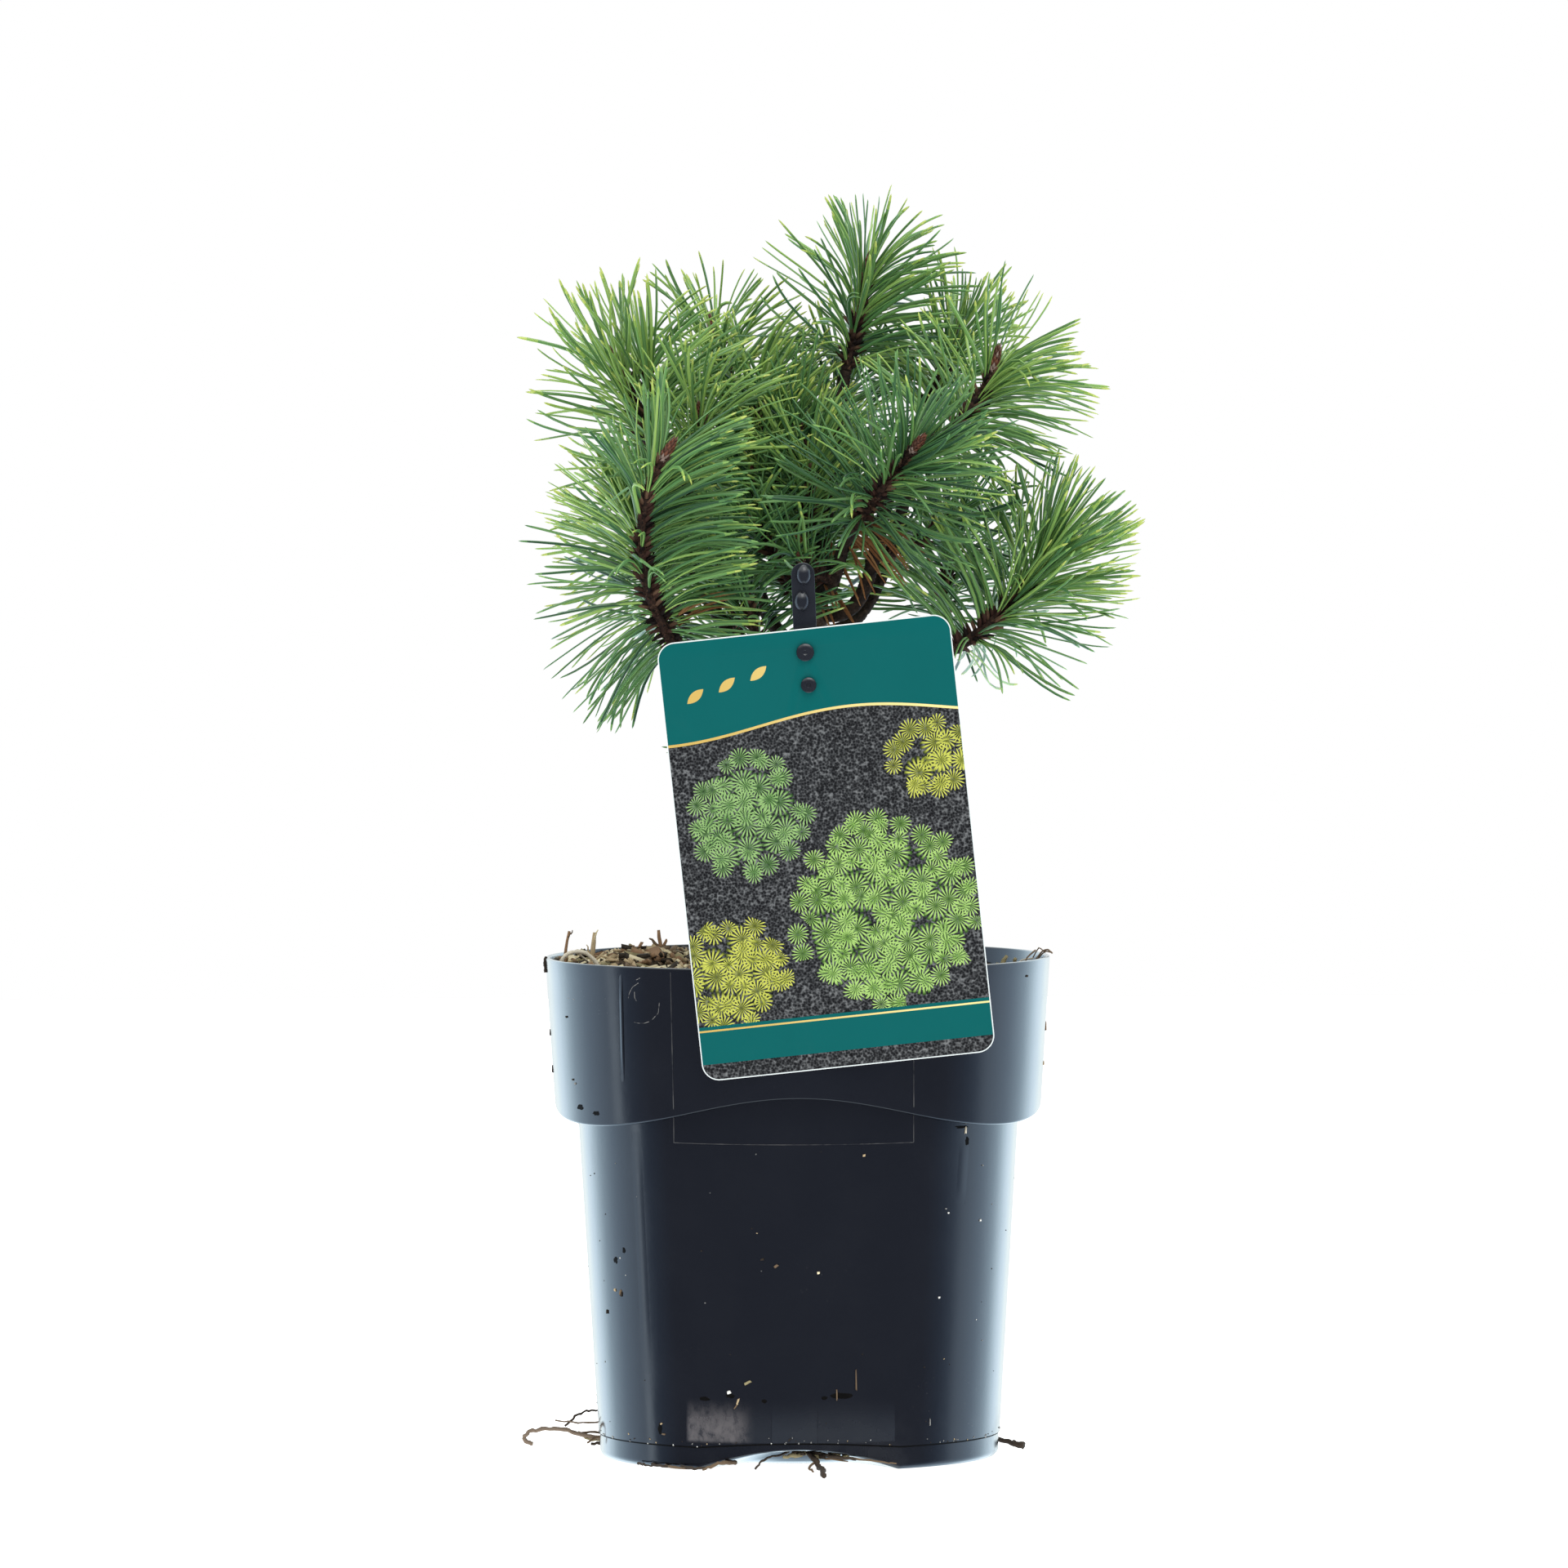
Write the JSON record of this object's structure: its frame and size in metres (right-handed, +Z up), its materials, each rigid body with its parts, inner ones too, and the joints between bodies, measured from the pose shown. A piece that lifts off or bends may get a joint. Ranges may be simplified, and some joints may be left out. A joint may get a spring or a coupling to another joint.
{
  "type": "potted dwarf pine",
  "caption": "Young dwarf pine on a bare stem in a black plastic nursery pot with a deep collar, its soil, and a plain picture hang label on a slim stake.",
  "frame": {"origin": "centre of the pot's flat underside, at ground level", "axes": "+Z up along the pot's axis; the label faces -Y, the front; +X is to the right seen from the front"},
  "size_m": [0.2379, 0.2259, 0.4798],
  "materials": {
    "pot_plastic": "glossy blue-black moulded plastic",
    "potting_soil": "rough brown bark chips and fibres",
    "pine_bark": "rough scaly reddish-brown bark",
    "pine_needles": "fine green needles with yellow-green tips",
    "stake_plastic": "satin black plastic",
    "label_print": null
  },
  "bodies": {
    "root": {"pot": "pot_plastic", "soil": "potting_soil", "trunk": "pine_bark", "bough_front_left": "pine_bark", "bough_right_low": "pine_bark", "bough_back_left_low": "pine_bark", "bough_right_back_low": "pine_bark", "bough_back_low": "pine_bark", "bough_left_high": "pine_bark", "bough_back_left_high": "pine_bark", "bough_right_back_high": "pine_bark", "bough_right_high": "pine_bark", "bough_front_middle": "pine_bark", "bough_back_high": "pine_bark", "bough_middle": "pine_bark", "bough_top": "pine_bark", "shoot_front_left": "pine_needles", "shoot_right_low": "pine_needles", "shoot_back_left_low": "pine_needles", "shoot_right_back_low": "pine_needles", "shoot_back_low": "pine_needles", "shoot_left_high": "pine_needles", "shoot_back_left_high": "pine_needles", "shoot_right_back_high": "pine_needles", "shoot_right_high": "pine_needles", "shoot_front_middle": "pine_needles", "shoot_back_high": "pine_needles", "shoot_middle": "pine_needles", "shoot_top": "pine_needles", "label_stake": "stake_plastic", "label_card": "label_print"}
  },
  "joints": []
}
